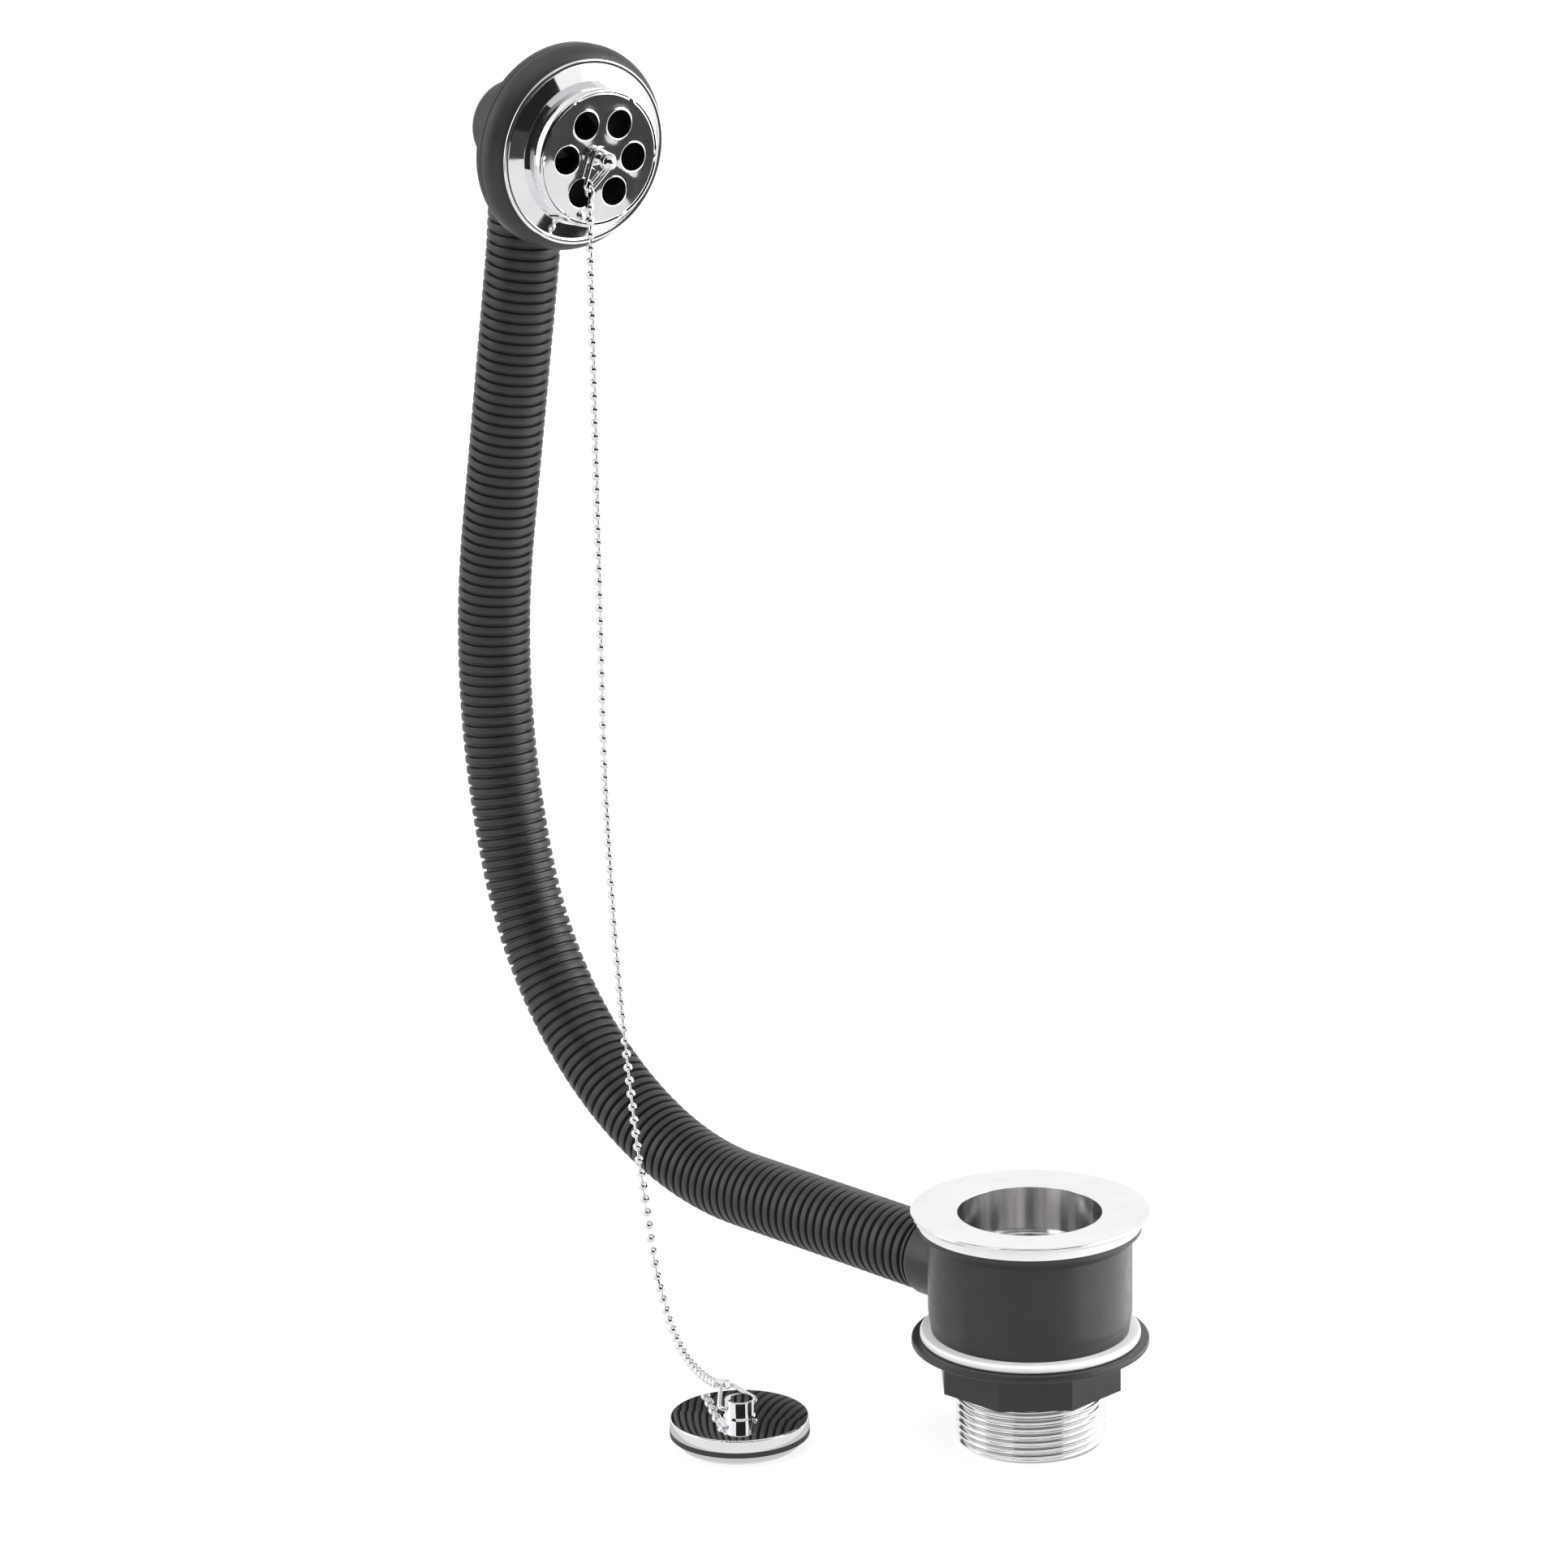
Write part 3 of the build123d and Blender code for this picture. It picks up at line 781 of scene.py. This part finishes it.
beads = bead_centres()
bm = bmesh.new()
angles = [math.pi * j / BEAD_STEPS for j in range(BEAD_STEPS + 1)]
ball = [(-BEAD_R * math.cos(a), max(BEAD_POLE, BEAD_R * math.sin(a))) for a in angles]
for k, centre in enumerate(beads):
    way = (beads[min(k + 1, len(beads) - 1)] - beads[max(k - 1, 0)]).normalized()
    skin(bm, tube_rows(centre, way, ball, BEAD_SIDES), False)
    if k + 1 < len(beads):
        span = beads[k + 1] - centre
        section = [(PIN_SET, PIN_R), (span.length / MM - PIN_SET, PIN_R)]
        pin = tube_rows(centre, span.normalized(), section, PIN_SIDES)
        ends = skin(bm, pin, False)
        bm.faces.new(ends[0])
        bm.faces.new(ends[1])
chain = mesh_object("ball_chain", bm, CHROME, "chrome", "chain_beads", "chain_pins")
chain_length = sum((b - a).length for a, b in zip(beads, beads[1:]))
tuple(beads[0])
[tuple(c) for c in beads]


# CAD pieces that keep their shape get a finish and smooth shading.
def dress(name, material):
    piece = NODES[name]
    piece.data.materials.clear()
    piece.data.materials.append(material)
    piece.data.polygons.foreach_set("use_smooth", [True] * len(piece.data.polygons))
    weld = piece.modifiers.new("weld", "WELD")
    weld.merge_threshold = WELD_NEAR
    split = piece.modifiers.new("edges", "EDGE_SPLIT")
    split.split_angle = math.radians(SPLIT_ANGLE)
    steady_normals(piece)


FINISHES = {
    CHROME: (
        "rose_screw", "screw_link", "upper_coupling", "lower_coupling",
        "plug_bail", "plug_post", "plug_body",
    ),
    WHITE: ("flange_washer", "lower_washer"),
    RUBBER: ("bath_washer", "overflow_seal", "plug_seal"),
    PLASTIC: ("banjo_body", "back_nut", "overflow_elbow"),
    BRASS: ("overflow_insert",),
}
for finish, names in FINISHES.items():
    for name in names:
        dress(name, finish)


# Stage: a pale floor, soft light, and cards that only reflections see.
def flat_piece(name, corners, material):
    mesh = bpy.data.meshes.new(name)
    mesh.from_pydata(corners, [], [tuple(range(len(corners)))])
    mesh.materials.append(material)
    made = bpy.data.objects.new(name, mesh)
    bpy.context.scene.collection.objects.link(made)
    return made


def card(name, centre, normal, width, height, material):
    """A flat rectangle. Its width lies level."""
    normal = Vector(normal).normalized()
    level = Vector((0, 0, 1)).cross(normal)
    level = level.normalized() if level.length > 1e-6 else Vector((1, 0, 0))
    up = normal.cross(level)
    signs = [(-1, -1), (1, -1), (1, 1), (-1, 1)]
    corners = [Vector(centre) + level * a * width / 2 + up * b * height / 2 for a, b in signs]
    return flat_piece(name, corners, material)


def reflected_only(made):
    """Only glossy rays meet the piece."""
    made.visible_camera = False
    made.visible_diffuse = False
    made.visible_shadow = False
    made.visible_transmission = False


def lit(name, colour, glow):
    """A surface that also gives off light, like a light table."""
    material, shader = new_material(name, colour, 0.9)
    socket(shader, "Specular IOR Level", 0)
    socket(shader, "Emission Color", (1, 1, 1, 1))
    socket(shader, "Emission Strength", glow)
    return material


FLOOR = lit("pale_floor", (0.3, 0.3, 0.3), 0.75)
TABLE = lit("table_glow", (0, 0, 0), 0.86)
PANEL = lit("panel_glow", (0, 0, 0), 2.0)
DARK = lit("dark_room", (0, 0, 0), 0.018)
DIM = lit("dim_floor", (0, 0, 0), 0.055)
GREY = lit("grey_wall", (0, 0, 0), 0.6)
CEILING = lit("ceiling_glow", (0, 0, 0), 0.72)
SHADE = lit("plug_shade", (0, 0, 0), 0.62)
floor_z = CAD_BOX[0].z - FLOOR_GAP
card("floor", (0, 0, floor_z), (0, 0, 1), FLOOR_SIZE, FLOOR_SIZE, FLOOR)

# Camera.
turn, down, roll = (math.radians(a) for a in (CAMERA_TURN, CAMERA_DOWN, CAMERA_ROLL))
level = Vector((math.cos(turn), math.sin(turn), 0))
ahead = Vector((-math.sin(turn) * math.cos(down), math.cos(turn) * math.cos(down), -math.sin(down)))
rise = level.cross(ahead)
right = level * math.cos(roll) + rise * math.sin(roll)
up = rise * math.cos(roll) - level * math.sin(roll)
camera_data = bpy.data.cameras.new("camera")
camera_data.lens = CAMERA_LENS
camera_data.sensor_width = CAMERA_SENSOR
camera = bpy.data.objects.new("camera", camera_data)
camera.matrix_world = Matrix((right, up, -ahead)).transposed().to_4x4()
camera.location = Vector(CAMERA_AT) * MM
bpy.context.scene.collection.objects.link(camera)
bpy.context.scene.camera = camera


# What only reflections show: a dark room behind the camera and past the white table, as the rose sees
# them, and a light panel on the table's right.
def round_rose(turn, reach, height):
    """A point at a turn in degrees and a reach in metres from under the rose."""
    angle = math.radians(turn)
    return Vector((face_at.x + reach * math.cos(angle), face_at.y + reach * math.sin(angle), height))


def room_piece(name, places, material=DARK):
    """Corners are given as turn, reach and height over the floor."""
    corners = [round_rose(turn, reach, floor_z + height) for turn, reach, height in places]
    reflected_only(flat_piece(name, corners, material))


camera_side = camera.location - ahead * CAMERA_CARD_BACK + right * CAMERA_CARD_SHIFT
reflected_only(card("camera_card", camera_side, ahead, CAMERA_CARD_W, CAMERA_CARD_H, DARK))
# Lists of a turn with a reach, or of a turn with a height.
table_edge = [(46, 0.9), (33, 0.95), (30, 1.0), (26, 1.09), (18, 1.15), (0, 1.12), (-25, 1.10)]
far_edge = [(turn, ROOM_REACH) for turn in (-25, 0, 18, 33, 46)]
room_edge = far_edge + table_edge
room_piece("room_floor", [(turn, reach, ROOM_FLOOR_LIFT) for turn, reach in room_edge], DIM)
end_wall = [(-25, 0), (12, 0), (10, ROOM_TOP), (-25, ROOM_TOP)]
room_piece("room_end", [(turn, ROOM_REACH, height) for turn, height in end_wall])
grey_wall = [(25, 0.8), (43, 0.8), (41, 2.0), (27, 2.0)]
room_piece("room_grey", [(turn, ROOM_REACH, height) for turn, height in grey_wall], GREY)
left_flag = [(-100, 0.24), (-66, 0.24), (-66, 0.61), (-54, 0.79), (-54, 0.9), (-100, 0.9)]
room_piece("left_flag", [(turn, FLAG_REACH, height) for turn, height in left_flag])
gap_far = [(8, 0.178), (15, 0.166), (30, 0.158), (43, 0.17), (50, 0.19)]
gap_near = [(50, 0.165), (43, 0.14), (30, 0.125), (15, 0.132), (8, 0.15)]
room_piece("table_gap", [(turn, reach, GAP_HEIGHT) for turn, reach in gap_far + gap_near])
table_at = (0, 0, floor_z + TABLE_LIFT)
reflected_only(card("table", table_at, (0, 0, 1), TABLE_SIZE, TABLE_SIZE, TABLE))

# Lists of a distance to the camera's right and one towards it, from the waste's axis.
toward = Vector((-ahead.x, -ahead.y, 0)).normalized()
panel = [(0.125, -0.25), (2.4, -1.3), (2.4, 1.4), (0.125, 0.06)]
panel_up = Vector((0, 0, floor_z + PANEL_LIFT))
panel_corners = [level * a + toward * b + panel_up for a, b in panel]
reflected_only(flat_piece("light_panel", panel_corners, PANEL))
strip = [
    (STRIP_BACK, STRIP_FOOT), (STRIP_FRONT, STRIP_FOOT),
    (STRIP_FRONT, STRIP_TOP), (STRIP_BACK, STRIP_TOP),
]
strip_corners = [level * STRIP_REACH + toward * b + Vector((0, 0, floor_z + h)) for b, h in strip]
reflected_only(flat_piece("light_strip", strip_corners, PANEL))

# The white table under the rose, over the panel, then the ceiling and the shade under the plug.
under_rose = [(-40, 0.2), (-40, 1.2), (0, 1.2), (38, 1.2), (38, 0.75), (10, 0.75), (10, 0.2)]
white_patch = [(turn, reach, UNDER_ROSE_LIFT) for turn, reach in under_rose]
room_piece("table_under_rose", white_patch, TABLE)
overhead = Vector((face_at.x / 2, 0, floor_z + OVERHEAD_HEIGHT))
reflected_only(card("ceiling", overhead, (0, 0, -1), OVERHEAD_WIDTH, OVERHEAD_WIDTH, CEILING))
plug_low, plug_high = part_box("plug_seal")
plug_foot = Vector((*((plug_low + plug_high) / 2).xy, floor_z + SHADE_LIFT))
shade_ring = [plug_foot + p for p in hoop(PLUG_SHADE_R / MM, 0, PLUG_SHADE_SIDES)]
reflected_only(flat_piece("shade_under_plug", shade_ring, SHADE))


def area_light(name, place, target, width, height, watts):
    data = bpy.data.lights.new(name, "AREA")
    data.shape = "RECTANGLE"
    data.size = width
    data.size_y = height
    data.energy = watts
    made = bpy.data.objects.new(name, data)
    made.location = place
    made.rotation_euler = (Vector(target) - Vector(place)).to_track_quat("-Z", "Y").to_euler()
    bpy.context.scene.collection.objects.link(made)


middle = (CAD_BOX[0] + CAD_BOX[1]) / 2
right_at = middle + level * BOX_REACH + Vector((0, 0, RIGHT_BOX_LIFT))
area_light("right_box", right_at, middle, RIGHT_BOX_W, BOX_H, RIGHT_BOX_WATTS)
left_at = middle - level * BOX_REACH + Vector((0, 0, LEFT_BOX_LIFT))
area_light("left_box", left_at, middle, LEFT_BOX_W, BOX_H, LEFT_BOX_WATTS)
sun_data = bpy.data.lights.new("overhead", "SUN")
sun_data.energy = SUN_POWER
sun_data.angle = math.radians(SUN_SPREAD)
sun = bpy.data.objects.new("overhead", sun_data)
sun.rotation_euler = (math.radians(SUN_TILT[0]), math.radians(SUN_TILT[1]), 0)
bpy.context.scene.collection.objects.link(sun)

world = bpy.data.worlds.new("studio")
world.use_nodes = True
sky = world.node_tree.nodes["Background"]
socket(sky, "Color", (1, 1, 1, 1))
socket(sky, "Strength", 1.0)
bpy.context.scene.world = world
bpy.context.scene.view_settings.view_transform = "Standard"
bpy.context.scene.view_settings.look = "None"
